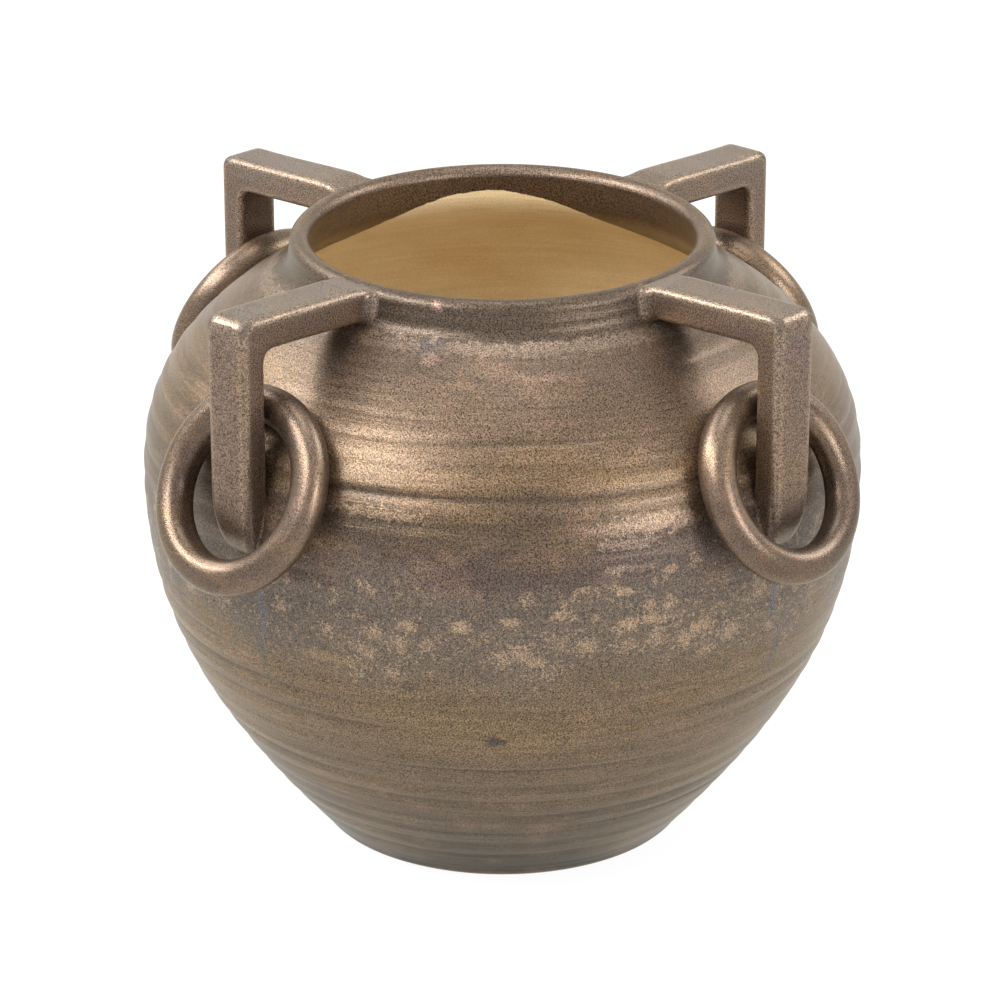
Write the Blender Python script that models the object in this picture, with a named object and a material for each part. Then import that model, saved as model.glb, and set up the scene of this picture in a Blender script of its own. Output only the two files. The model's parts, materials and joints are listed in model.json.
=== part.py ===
"""Round-bellied amphora vase in glazed stoneware.

One thrown vessel, four square-section handles luted on from the lip to the belly, and four loose rings,
each trapped round the leg of its handle. Metres, +Z up, origin at the middle of the foot, with a handle
on each of the -Y, +X, +Y and -X sides.
"""
import math

import bmesh
import bpy
import numpy as np
from mathutils import Vector

# Vessel: the wall's outer side, from the foot up. A fullness is the share of the way from the narrow
# end to the belly that the wall has reached at half the height between them, a slope is the change of
# radius with height, and a rise is a height above the feature named before it: the shoulder's above the
# belly, the neck's narrowest place above the shoulder, and the rim above that.
FOOT_RADIUS = 0.0732
FOOT_EDGE = 0.0045
FOOT_SLOPE = 0.885
LOWER_FULLNESS = 0.756
BELLY_RADIUS = 0.1466
BELLY_HEIGHT = 0.1527
UPPER_FULLNESS = 0.824
SHOULDER_RADIUS = 0.0914
SHOULDER_RISE = 0.0842
SHOULDER_SLOPE = -1.63
NECK_RADIUS = 0.0850
NECK_RISE = 0.0071
LIP_RADIUS = 0.0859
LIP_WIDTH = 0.0084
RIM_RISE = 0.0092

# Heights that follow from the rises
SHOULDER_HEIGHT = BELLY_HEIGHT + SHOULDER_RISE
NECK_HEIGHT = SHOULDER_HEIGHT + NECK_RISE
RIM_HEIGHT = NECK_HEIGHT + RIM_RISE

# Throwing ridges round the outside: the distance from crest to crest, how far a crest stands out over a
# valley, and the number of ridges over which they fade out at the foot and at the shoulder
RIDGE_PITCH = 0.0112
RIDGE_DEPTH = 0.0007
RIDGE_FADE = 3

# Vessel: inside and underside
WALL = 0.0070
INSIDE_SPACING = 0.0160
FLOOR_THICKNESS = 0.0110
FOOT_RING_WIDTH = 0.0120
FOOT_RECESS = 0.0030

# Handles: an arm from the lip and a leg down to the belly
HANDLE_WIDTH = 0.0212
ARM_DEPTH = 0.0138
ARM_RISE = 0.0008
LEG_DEPTH = 0.0122
LEG_STANDOUT = 0.0076
EDGE_ROUNDING = 0.0024
CORNER_FILLET = 0.0045
TOE_LENGTH = 0.0150
TOE_RISE = 0.0006
TOE_NARROWING = 0.78

# Rings, and how far one leans from upright at rest
RING_RADIUS = 0.0339
BAR_RADIUS = 0.0074
RING_TILT = 28.0

# Clearances: luted pieces lie this far apart, and a ring keeps this much round the leg as it turns
SEAT_GAP = 0.0003
RUNNING_CLEARANCE = 0.0005

# Facets
TURNED_SEGMENTS = 44
RIDGE_STEPS = 3
RING_STEPS = 30
BAR_SIDES = 10
EDGE_STEPS = 2

# Sides of the vessel, with the direction that each faces in degrees from +X
SIDES = {"front": -90.0, "right": 0.0, "back": 90.0, "left": 180.0}


def clear_scene():
    """Remove what the file opened with."""
    for obj in list(bpy.data.objects):
        bpy.data.objects.remove(obj, do_unlink=True)


def material(name, color, roughness, metallic):
    """A Principled material with a plain colour."""
    made = bpy.data.materials.new(name)
    made.use_nodes = True
    shader = made.node_tree.nodes["Principled BSDF"]
    shader.inputs["Base Color"].default_value = (*color, 1.0)
    shader.inputs["Roughness"].default_value = roughness
    shader.inputs["Metallic"].default_value = metallic
    made.diffuse_color = (*color, 1.0)
    return made


def bezier(start, first, second, end, steps):
    """Points along a cubic curve, its start left out."""
    points = []
    for step in range(1, steps + 1):
        t = step / steps
        weights = ((1 - t) ** 3, 3 * t * (1 - t) ** 2, 3 * t * t * (1 - t), t ** 3)
        points.append(tuple(
            sum(w * p[axis] for w, p in zip(weights, (start, first, second, end))) for axis in range(2)))
    return points


def wall_section():
    """Heights, radii and slopes of the points that the wall's smooth curve goes through."""
    heights = np.array([0.0, BELLY_HEIGHT / 2, BELLY_HEIGHT, (BELLY_HEIGHT + SHOULDER_HEIGHT) / 2,
                        SHOULDER_HEIGHT])
    radii = np.array([FOOT_RADIUS, FOOT_RADIUS + LOWER_FULLNESS * (BELLY_RADIUS - FOOT_RADIUS), BELLY_RADIUS,
                      SHOULDER_RADIUS + UPPER_FULLNESS * (BELLY_RADIUS - SHOULDER_RADIUS), SHOULDER_RADIUS])
    steps = np.diff(heights)
    rises = np.diff(radii) / steps
    system, wanted = np.eye(len(heights)), np.zeros(len(heights))
    wanted[0], wanted[-1] = FOOT_SLOPE, SHOULDER_SLOPE
    for i in range(1, len(heights) - 1):
        system[i, i - 1:i + 2] = (1 / steps[i - 1], 2 / steps[i - 1] + 2 / steps[i], 1 / steps[i])
        wanted[i] = 3 * (rises[i - 1] / steps[i - 1] + rises[i] / steps[i])
    return heights, radii, np.linalg.solve(system, wanted)


def wall_radius(height):
    """Outer radius of the wall at a height, or an array of heights, between the foot and the neck."""
    heights, radii, slopes = wall_section()
    i = np.clip(np.searchsorted(heights, height) - 1, 0, len(heights) - 2)
    step = heights[i + 1] - heights[i]
    t = (height - heights[i]) / step
    return ((1 + 2 * t) * (1 - t) ** 2 * radii[i] + t * (1 - t) ** 2 * step * slopes[i]
            + t * t * (3 - 2 * t) * radii[i + 1] - t * t * (1 - t) * step * slopes[i + 1])


def lip_start():
    """Where the neck's outer side meets the rounded lip."""
    return (LIP_RADIUS, RIM_HEIGHT - LIP_WIDTH / 2)


def wall_line(pitch, steps):
    """Points from the foot's edge to the shoulder, with the same number of steps to each pitch of the wall."""
    heights = np.linspace(FOOT_EDGE, SHOULDER_HEIGHT, 400)
    radii = wall_radius(heights)
    travelled = np.concatenate(([0.0], np.cumsum(np.hypot(np.diff(radii), np.diff(heights)))))
    even = np.linspace(0.0, travelled[-1], steps * round(travelled[-1] / pitch) + 1)
    return list(zip(np.interp(even, travelled, radii).tolist(), np.interp(even, travelled, heights).tolist()))


def offset(outline, distances):
    """The outline moved outwards, square to itself, by one distance or by one for each point."""
    moved = []
    for i, distance in enumerate(np.broadcast_to(distances, len(outline)).tolist()):
        before, after = outline[max(i - 1, 0)], outline[min(i + 1, len(outline) - 1)]
        along = Vector((after[0] - before[0], after[1] - before[1])).normalized()
        moved.append((outline[i][0] + along.y * distance, outline[i][1] - along.x * distance))
    return moved


def ridged(line):
    """The wall's line with its points moved out to crests and in to valleys, by a wave that fades at both ends."""
    steps = np.arange(len(line))
    fade = np.minimum(1.0, np.minimum(steps, steps[::-1]) / (RIDGE_STEPS * RIDGE_FADE))
    return offset(line, fade * RIDGE_DEPTH / 2 * np.cos(math.tau * steps / RIDGE_STEPS))


def with_neck(outline):
    """The wall's outline carried on up the neck to the lip's outermost point, on two short curves."""
    shoulder, waist, lip = outline[-1], (NECK_RADIUS, NECK_HEIGHT), lip_start()
    slope = Vector((SHOULDER_SLOPE, 1.0)).normalized()
    reach = 0.55 * math.dist(shoulder, waist)
    neck = bezier(shoulder, (shoulder[0] + slope.x * reach, shoulder[1] + slope.y * reach),
                  (waist[0], waist[1] - 0.5 * reach), waist, 3)
    rise = lip[1] - waist[1]
    return outline + neck + bezier(waist, (waist[0], waist[1] + 0.4 * rise), (lip[0], lip[1] - 0.5 * rise), lip, 3)


def outer_outline():
    """Outer side of the vessel as radius and height, from the foot's edge up to the lip's outermost point."""
    return with_neck(ridged(wall_line(RIDGE_PITCH, RIDGE_STEPS)))


def lip_curve(radius_change, steps):
    """Half circle over the lip, from its outer side to its inner side, both ends left out."""
    radius = LIP_WIDTH / 2
    middle = (LIP_RADIUS - radius, RIM_HEIGHT - radius)
    reach = radius + radius_change
    angles = [math.pi * i / steps for i in range(1, steps)]
    return [(middle[0] + reach * math.cos(a), middle[1] + reach * math.sin(a)) for a in angles]


def vessel_outline():
    """Whole section of the vessel, from the underside's middle round to the floor's middle."""
    ring_outside = FOOT_RADIUS - FOOT_EDGE
    ring_inside = ring_outside - FOOT_RING_WIDTH
    underside = [(0.0, FOOT_RECESS), (ring_inside - FOOT_RECESS, FOOT_RECESS), (ring_inside, 0.0),
                 (ring_outside, 0.0)]
    outside = outer_outline()
    low_inside = FLOOR_THICKNESS + WALL
    underside += bezier((ring_outside, 0.0), (FOOT_RADIUS, 0.0), (FOOT_RADIUS + FOOT_EDGE / 2, FOOT_EDGE / 3),
                        outside[0], 3)[:-1]
    inside = [(LIP_RADIUS - LIP_WIDTH, lip_start()[1])]
    cavity = offset(with_neck(wall_line(INSIDE_SPACING, 1)), -WALL)
    inside += [point for point in reversed(cavity) if low_inside < point[1] < NECK_HEIGHT]
    low_radius, low_height = inside[-1]
    corner = low_height - FLOOR_THICKNESS
    floor = bezier((low_radius, low_height), (low_radius - 0.5 * corner, FLOOR_THICKNESS + 0.4 * corner),
                   (low_radius - corner, FLOOR_THICKNESS), (low_radius - 2.0 * corner, FLOOR_THICKNESS), 3)
    return underside + outside + lip_curve(0.0, 8) + inside + floor + [(0.0, FLOOR_THICKNESS)]


def turned_mesh(name, outline):
    """Turn an outline of radius and height round the Z axis, both its ends on the axis."""
    shape = bmesh.new()
    verts = [shape.verts.new((radius, 0.0, height)) for radius, height in outline]
    edges = [shape.edges.new(pair) for pair in zip(verts, verts[1:])]
    bmesh.ops.spin(shape, geom=verts + edges, cent=(0, 0, 0), axis=(0, 0, 1), dvec=(0, 0, 0),
                   angle=math.tau, steps=TURNED_SEGMENTS, use_merge=True)
    return finished_mesh(name, shape)


def finished_mesh(name, shape):
    """Weld doubles, drop empty faces, turn faces outwards, and shade the round parts smooth."""
    bmesh.ops.remove_doubles(shape, verts=shape.verts, dist=1e-6)
    bmesh.ops.dissolve_degenerate(shape, dist=1e-7, edges=shape.edges)
    bmesh.ops.recalc_face_normals(shape, faces=shape.faces)
    mesh = bpy.data.meshes.new(name)
    shape.to_mesh(mesh)
    shape.free()
    mesh.shade_smooth()
    mesh.set_sharp_from_angle(angle=math.radians(40))
    return mesh


def add_object(name, mesh, *materials):
    """Link a mesh to the scene under a name."""
    obj = bpy.data.objects.new(name, mesh)
    for slot in materials:
        mesh.materials.append(slot)
    bpy.context.scene.collection.objects.link(obj)
    return obj


def leg_outer():
    """Radius of the legs' outer faces."""
    return BELLY_RADIUS + LEG_STANDOUT


def leg_inner():
    """Radius of the legs' inner faces."""
    return leg_outer() - LEG_DEPTH


def hinge_radius():
    """Radius of a ring's top bar, which clears the leg's corners when the ring stands square to it."""
    hole = RING_RADIUS - BAR_RADIUS - RUNNING_CLEARANCE - EDGE_ROUNDING
    half_flat = HANDLE_WIDTH / 2 - EDGE_ROUNDING
    to_corners = RING_RADIUS - EDGE_ROUNDING - math.sqrt(hole ** 2 - half_flat ** 2)
    return leg_inner() - max(to_corners, BAR_RADIUS + RUNNING_CLEARANCE)


def hanging_height():
    """Height of the top bar of a ring that leans on the vessel at its tilt.

    The ring's middle line is tried against the vessel's outer side, and moved until its nearest point lies
    one bar radius and a seat's gap away.
    """
    outline = np.array(outer_outline())
    knots = np.arange(len(outline))
    fine = np.linspace(0.0, knots[-1], 10 * len(outline))
    radii, heights = (np.interp(fine, knots, outline[:, axis]) for axis in range(2))
    turns = np.linspace(0.0, math.tau, 72, endpoint=False)
    along, across = RING_RADIUS * (1 - np.cos(turns)), RING_RADIUS * np.sin(turns)
    radius = np.hypot(hinge_radius() + along * math.sin(math.radians(RING_TILT)), across)
    height = (BELLY_HEIGHT + SHOULDER_HEIGHT) / 2
    for _ in range(120):
        level = height - along * math.cos(math.radians(RING_TILT))
        distance = np.hypot(radius[:, None] - radii, level[:, None] - heights).min(axis=1)
        inside = radius < np.interp(level, heights, radii)
        room = np.where(inside, -distance, distance) - BAR_RADIUS - SEAT_GAP
        height -= 0.8 * room.min()
    return height


def toe_height():
    """Height at which a leg ends on the belly, just above its ring's lowest bar."""
    return hanging_height() - 2 * RING_RADIUS * math.cos(math.radians(RING_TILT)) + TOE_RISE


def rounded_section(inner, outer, half_width):
    """Rectangle with rounded corners between two points of the handle's side view."""
    reach = Vector((outer[0] - inner[0], outer[1] - inner[1]))
    depth = reach.length
    rounding = min(EDGE_ROUNDING, 0.45 * depth, 0.9 * half_width)
    direction = reach / depth
    corners = ((depth - rounding, half_width - rounding, 0), (rounding, half_width - rounding, 90),
               (rounding, rounding - half_width, 180), (depth - rounding, rounding - half_width, 270))
    points = []
    for out, across, first in corners:
        for step in range(EDGE_STEPS + 1):
            angle = math.radians(first + 90 * step / EDGE_STEPS)
            distance = out + rounding * math.cos(angle)
            side = across + rounding * math.sin(angle)
            points.append(Vector((inner[0] + direction.x * distance, side, inner[1] + direction.y * distance)))
    return points


def handle_sections():
    """Sections of a handle from the lip, along the arm, round the corner and down to the toe."""
    arm_top, arm_under = RIM_HEIGHT + ARM_RISE, RIM_HEIGHT + ARM_RISE - ARM_DEPTH
    inner, outer = leg_inner(), leg_outer()
    half = HANDLE_WIDTH / 2
    centre = (inner - CORNER_FILLET, arm_under - CORNER_FILLET)
    sections = [((NECK_RADIUS - WALL / 2, arm_under), (LIP_RADIUS - SEAT_GAP, arm_top), half)]
    corner_reach = min(outer - centre[0], arm_top - centre[1])
    turn_steps = 8
    for step in range(turn_steps + 1):
        angle = math.radians(90 * step / turn_steps)
        side, up = math.sin(angle), math.cos(angle)
        reach = min((outer - centre[0]) / max(side, 1e-6), (arm_top - centre[1]) / max(up, 1e-6))
        softened = min(reach, corner_reach * math.sqrt(2) - 0.45 * EDGE_ROUNDING)
        sections.append(((centre[0] + CORNER_FILLET * side, centre[1] + CORNER_FILLET * up),
                         (centre[0] + softened * side, centre[1] + softened * up), half))
    toe = toe_height()
    sink = LEG_STANDOUT + WALL / 4
    toe_steps = 5
    for step in range(toe_steps + 1):
        share = math.sin(math.pi / 2 * step / toe_steps)
        height = toe + TOE_LENGTH * (1 - share)
        face = outer - sink * (1 - math.sqrt(1 - share ** 2))
        narrow = half * (1 - TOE_NARROWING * (1 - math.sqrt(1 - share ** 2)))
        sections.append(((inner, height), (face, height), narrow))
    return sections


def handle_mesh():
    """Loft the handle's sections into one closed bar."""
    shape = bmesh.new()
    loops = [[shape.verts.new(point) for point in rounded_section(*section)] for section in handle_sections()]
    for before, after in zip(loops, loops[1:]):
        for i in range(len(before)):
            j = (i + 1) % len(before)
            shape.faces.new((before[i], before[j], after[j], after[i]))
    shape.faces.new(loops[0])
    shape.faces.new(reversed(loops[-1]))
    return finished_mesh("handle", shape)


def ring_mesh():
    """Round bar closed to a ring, which hangs down from the middle of its top bar at the origin."""
    shape = bmesh.new()
    middle = Vector((0.0, 0.0, -RING_RADIUS))
    angles = [math.tau * (i + 0.5) / BAR_SIDES for i in range(BAR_SIDES)]
    bar = [shape.verts.new((BAR_RADIUS * math.cos(a), 0.0, BAR_RADIUS * math.sin(a))) for a in angles]
    edges = [shape.edges.new(pair) for pair in zip(bar, bar[1:] + bar[:1])]
    bmesh.ops.spin(shape, geom=bar + edges, cent=middle, axis=(1, 0, 0), dvec=(0, 0, 0),
                   angle=math.tau, steps=RING_STEPS, use_merge=True)
    return finished_mesh("ring", shape)


def dress_inside(vessel):
    """Give the unglazed inside its own material slot."""
    for face in vessel.data.polygons:
        outwards = Vector((face.center.x, face.center.y, 0.0))
        facing_in = face.normal.dot(outwards) < 0 or face.normal.z > 0.99
        if facing_in and FLOOR_THICKNESS / 2 < face.center.z < NECK_HEIGHT:
            face.material_index = 1


def build():
    """Make the vessel, its handles and its rings."""
    clear_scene()
    glaze = material("bronze_glaze", (0.17, 0.125, 0.085), 0.38, 0.55)
    clay = material("bare_clay", (0.55, 0.41, 0.25), 0.85, 0.0)
    ring_glaze = material("ring_glaze", (0.14, 0.10, 0.075), 0.30, 0.60)

    vessel = add_object("thrown_body", turned_mesh("thrown_body", vessel_outline()), glaze, clay)
    dress_inside(vessel)

    seat = [(0.0, FOOT_EDGE)] + offset(outer_outline(), SEAT_GAP) + lip_curve(SEAT_GAP, 8)
    seat.append((0.0, seat[-1][1]))
    cutter = add_object("vessel_seat", turned_mesh("vessel_seat", seat))
    cutter.hide_render = True
    cutter.display_type = "WIRE"

    height = hanging_height()
    for side, degrees in SIDES.items():
        turn = math.radians(degrees)
        handle = add_object("handle_" + side, handle_mesh(), glaze)
        handle.rotation_euler.z = turn
        cut = handle.modifiers.new("luting seat", "BOOLEAN")
        cut.operation = "DIFFERENCE"
        cut.solver = "EXACT"
        cut.object = cutter

        pivot = bpy.data.objects.new("ring_pivot_" + side, None)
        bpy.context.scene.collection.objects.link(pivot)
        pivot.location = (hinge_radius() * math.cos(turn), hinge_radius() * math.sin(turn), height)
        pivot.rotation_euler.z = turn
        ring = add_object("ring_" + side, ring_mesh(), ring_glaze)
        ring.parent = pivot
        ring.rotation_euler.y = -math.radians(RING_TILT)
    print("ring hinge radius %.5f height %.5f, toe height %.4f" % (hinge_radius(), height, toe_height()))


build()
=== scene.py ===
"""Looks of a round-bellied stoneware amphora vase with four handles and a loose ring on each.

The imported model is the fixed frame. Each piece here is modelled where its CAD node stands, in metres, and
rides on that node's body.
"""

import json
import logging
import math
from dataclasses import dataclass, field
from enum import Enum
from typing import Any, Callable, Iterable, Mapping, Sequence

import bpy
import numpy as np
from mathutils import Matrix, Vector

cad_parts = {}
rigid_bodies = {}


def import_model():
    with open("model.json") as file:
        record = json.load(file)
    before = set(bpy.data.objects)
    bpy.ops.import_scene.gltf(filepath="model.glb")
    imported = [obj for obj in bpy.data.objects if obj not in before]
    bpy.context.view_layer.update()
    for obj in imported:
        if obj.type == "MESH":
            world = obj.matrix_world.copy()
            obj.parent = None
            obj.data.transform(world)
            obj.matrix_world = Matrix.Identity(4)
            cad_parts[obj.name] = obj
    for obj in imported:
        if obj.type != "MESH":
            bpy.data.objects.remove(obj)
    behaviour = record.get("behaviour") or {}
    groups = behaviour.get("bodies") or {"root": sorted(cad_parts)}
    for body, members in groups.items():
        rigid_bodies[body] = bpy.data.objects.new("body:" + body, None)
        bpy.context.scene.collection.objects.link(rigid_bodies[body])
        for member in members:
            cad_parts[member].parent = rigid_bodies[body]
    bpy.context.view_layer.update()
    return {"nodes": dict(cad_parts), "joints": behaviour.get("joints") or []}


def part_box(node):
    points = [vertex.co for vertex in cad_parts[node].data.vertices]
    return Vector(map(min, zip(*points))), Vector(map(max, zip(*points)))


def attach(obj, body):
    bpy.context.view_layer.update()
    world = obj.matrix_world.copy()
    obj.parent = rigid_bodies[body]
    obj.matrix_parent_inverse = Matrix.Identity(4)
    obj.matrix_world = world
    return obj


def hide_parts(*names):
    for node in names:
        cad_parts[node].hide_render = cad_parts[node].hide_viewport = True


for leftover in list(bpy.data.objects):
    bpy.data.objects.remove(leftover, do_unlink=True)
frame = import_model()

MM = 0.001
LOG = logging.getLogger("vase")
TOUCHING = 1e-5  # Metres within which two places count as the same.
FACING = -46.7  # Degrees round from +X to the side that the camera sees.
OUTSIDE = -99.0  # What the bare clay's attribute says on the outer side.


class Side(Enum):
    """Sides of the vase that carry a handle and a ring, as degrees round from +X."""

    FRONT = -90.0
    RIGHT = 0.0
    BACK = 90.0
    LEFT = 180.0

    @property
    def word(self) -> str:
        """Side as it stands in a node's name."""
        return self.name.lower()

    @property
    def turn(self) -> Matrix:
        """Rotation that takes a piece modelled on the right to this side."""
        return Matrix.Rotation(math.radians(self.value), 4, "Z")


class Relief(Enum):
    """Names of the mesh attributes that a glaze reads."""

    HOLLOWS = "hollows"
    BARE = "bare"


def linear(code: str) -> tuple[float, float, float, float]:
    """Turn an sRGB hex colour into the linear colour that a shader takes.

    Args:
        code: Colour as rrggbb.

    Returns:
        Red, green, blue and an alpha of one.
    """
    parts = [int(code[i:i + 2], 16) / 255 for i in (0, 2, 4)]
    return (*(c / 12.92 if c <= 0.04045 else ((c + 0.055) / 1.055) ** 2.4 for c in parts), 1.0)


def add_node(tree: bpy.types.NodeTree, kind: str, inputs: Mapping[Any, Any] | None = None,
             **settings: Any) -> bpy.types.Node:
    """Add one node with its settings and links.

    Args:
        tree: Node tree that the node goes into.
        kind: Type name of the node.
        inputs: Value, or the output to link from, for each socket by name or number.
        **settings: Properties of the node itself.

    Returns:
        The new node.
    """
    node = tree.nodes.new(kind)
    for name, value in settings.items():
        setattr(node, name, value)
    for socket, value in (inputs or {}).items():
        if isinstance(value, bpy.types.NodeSocket):
            tree.links.new(value, node.inputs[socket])
        else:
            node.inputs[socket].default_value = value
    return node


@dataclass
class Brush:
    """Short names for the mixes and patterns that the finishes are made of."""

    tree: bpy.types.NodeTree

    def math(self, operation: str, *values: Any) -> bpy.types.NodeSocket:
        """Result of one arithmetic operation on numbers or sockets."""
        node = add_node(self.tree, "ShaderNodeMath", dict(enumerate(values)), operation=operation)
        return node.outputs[0]

    def times(self, first: Any, second: Any) -> bpy.types.NodeSocket:
        """Product of two numbers or sockets."""
        return self.math("MULTIPLY", first, second)

    def blend(self, share: Any, first: Any, second: Any) -> bpy.types.NodeSocket:
        """Colour mixed from two colours by a share."""
        node = add_node(self.tree, "ShaderNodeMix", {0: share, 6: first, 7: second}, data_type="RGBA",
                        clamp_factor=True)
        return node.outputs[2]

    def lay(self, color: Any, share: Any, code: str) -> bpy.types.NodeSocket:
        """Colour with a share of a hex colour laid over it."""
        return self.blend(share, color, linear(code))

    def shade(self, color: Any, value: Any) -> bpy.types.NodeSocket:
        """Colour made darker or lighter by a factor."""
        return add_node(self.tree, "ShaderNodeHueSaturation", {"Value": value, "Color": color}).outputs[0]

    def spread(self, value: Any, low: float, high: float, start: float = 0.0,
               end: float = 1.0) -> bpy.types.NodeSocket:
        """Value eased from start to end as it goes from low to high."""
        node = add_node(self.tree, "ShaderNodeMapRange", {0: value, 1: low, 2: high, 3: start, 4: end},
                        interpolation_type="SMOOTHSTEP")
        return node.outputs[0]

    def band(self, value: Any, low: float, high: float, soft: float) -> bpy.types.NodeSocket:
        """One between two heights, fading to nothing over a soft edge at each."""
        return self.times(self.spread(value, low - soft, low + soft),
                          self.spread(value, high - soft, high + soft, 1.0, 0.0))

    def noise(self, place: Any, size_mm: float, detail: float = 2.0, rough: float = 0.5,
              flatten: float = 1.0, shift: float = 0.0) -> bpy.types.NodeSocket:
        """Noise whose patches are about a size across, and flattened lengthways round the pot.

        Args:
            place: Coordinates that the pattern follows.
            size_mm: Distance from patch to patch in real millimetres.
            detail: Octaves of finer noise.
            rough: Strength of the finer octaves.
            flatten: How many times lower than wide a patch is.
            shift: Height in metres that the pattern is moved by, to bring another part of it round.

        Returns:
            The noise value, about 0.5 on average.
        """
        moved = add_node(self.tree, "ShaderNodeMapping", {0: place, 1: (0, 0, shift), 3: (1, 1, flatten)})
        pattern = {"Vector": moved.outputs[0], "Scale": 1 / (size_mm * MM), "Detail": detail,
                   "Roughness": rough}
        return add_node(self.tree, "ShaderNodeTexNoise", pattern).outputs[0]

    def spot(self, angle: Any, height: Any, wobble: Any, mark: "Mark") -> bpy.types.NodeSocket:
        """Share of a mark at each place: its strength in its middle, and nothing beyond its ragged edge.

        Args:
            angle: Angle round the pot in radians.
            height: Height above the foot.
            wobble: Fine noise that tears the edge.
            mark: The mark.

        Returns:
            The share.
        """
        across = self.math("DIVIDE", self.math("SUBTRACT", angle, math.radians(mark.angle)),
                           math.radians(mark.half_span))
        up = self.math("DIVIDE", self.math("SUBTRACT", height, mark.height), mark.half_height)
        far = self.math("SQRT", self.math("ADD", self.times(across, across), self.times(up, up)))
        ragged = self.math("MULTIPLY_ADD", wobble, -2 * mark.ragged, self.math("ADD", far, mark.ragged))
        return self.spread(ragged, 1.15, 0.55, 0.0, mark.strength)

    def ramp(self, value: Any, stops: Sequence[tuple[float, str]]) -> bpy.types.NodeSocket:
        """Colour read from a row of colours.

        Args:
            value: Place along the row, from nought to one.
            stops: Place and hex colour of each stop, in order.

        Returns:
            The colour.
        """
        node = add_node(self.tree, "ShaderNodeValToRGB", {0: value})
        elements = node.color_ramp.elements
        while len(elements) < len(stops):
            elements.new(0.5)
        for element, (place, code) in zip(elements, stops):
            element.position = place
            element.color = linear(code)
        return node.outputs[0]


@dataclass(frozen=True)
class Mark:
    """One place where the fired glaze shows something of its own: where it is, how large and what colour.

    Angles and spans are degrees round the pot, and heights are metres.
    """

    angle: float
    height: float
    half_span: float
    half_height: float
    color: str
    strength: float = 0.6
    ragged: float = 1.2


@dataclass
class GlazeBrush(Brush):
    """Brush that also holds the places, attributes and noises that a glaze reads more than once."""

    grain_mm: float

    def __post_init__(self) -> None:
        """Add their nodes to the material."""
        self.place = add_node(self.tree, "ShaderNodeTexCoord").outputs["Object"]
        self.height = add_node(self.tree, "ShaderNodeSeparateXYZ", {0: self.place}).outputs[2]
        self.hollows, self.below = (
            add_node(self.tree, "ShaderNodeAttribute", attribute_name=name.value).outputs["Fac"]
            for name in (Relief.HOLLOWS, Relief.BARE))
        self.streak = self.noise(self.place, 50, 5, 0.6, 9)
        self.fine = self.noise(self.place, 40, 4, 0.75, 40, 0.3)
        self.mottle = self.noise(self.place, 22, 4, 0.62, 1.6)
        self.grain = self.noise(self.place, self.grain_mm, 2, 0.7)


@dataclass(frozen=True)
class StonewareClay:
    """Bare fired stoneware, thrown and left unglazed: matt, warm ochre, with faint sand in it."""

    dark: str = "ceb68c"
    light: str = "dac8a3"
    sand_mm: float = 0.8

    def color(self, brush: GlazeBrush) -> bpy.types.NodeSocket:
        """Ochre that drifts from place to place, with a fine sandy grain and faint throwing lines."""
        drift = brush.ramp(brush.noise(brush.place, 40, 3, 0.5, 2.0), ((0.3, self.dark), (0.7, self.light)))
        sand = brush.spread(brush.noise(brush.place, self.sand_mm, 2, 0.6), 0.2, 0.8, 0.88, 1.12)
        lines = brush.spread(brush.noise(brush.place, 45, 4, 0.7, 22), 0.25, 0.75, 0.93, 1.07)
        return brush.shade(drift, brush.times(sand, lines))


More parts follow.
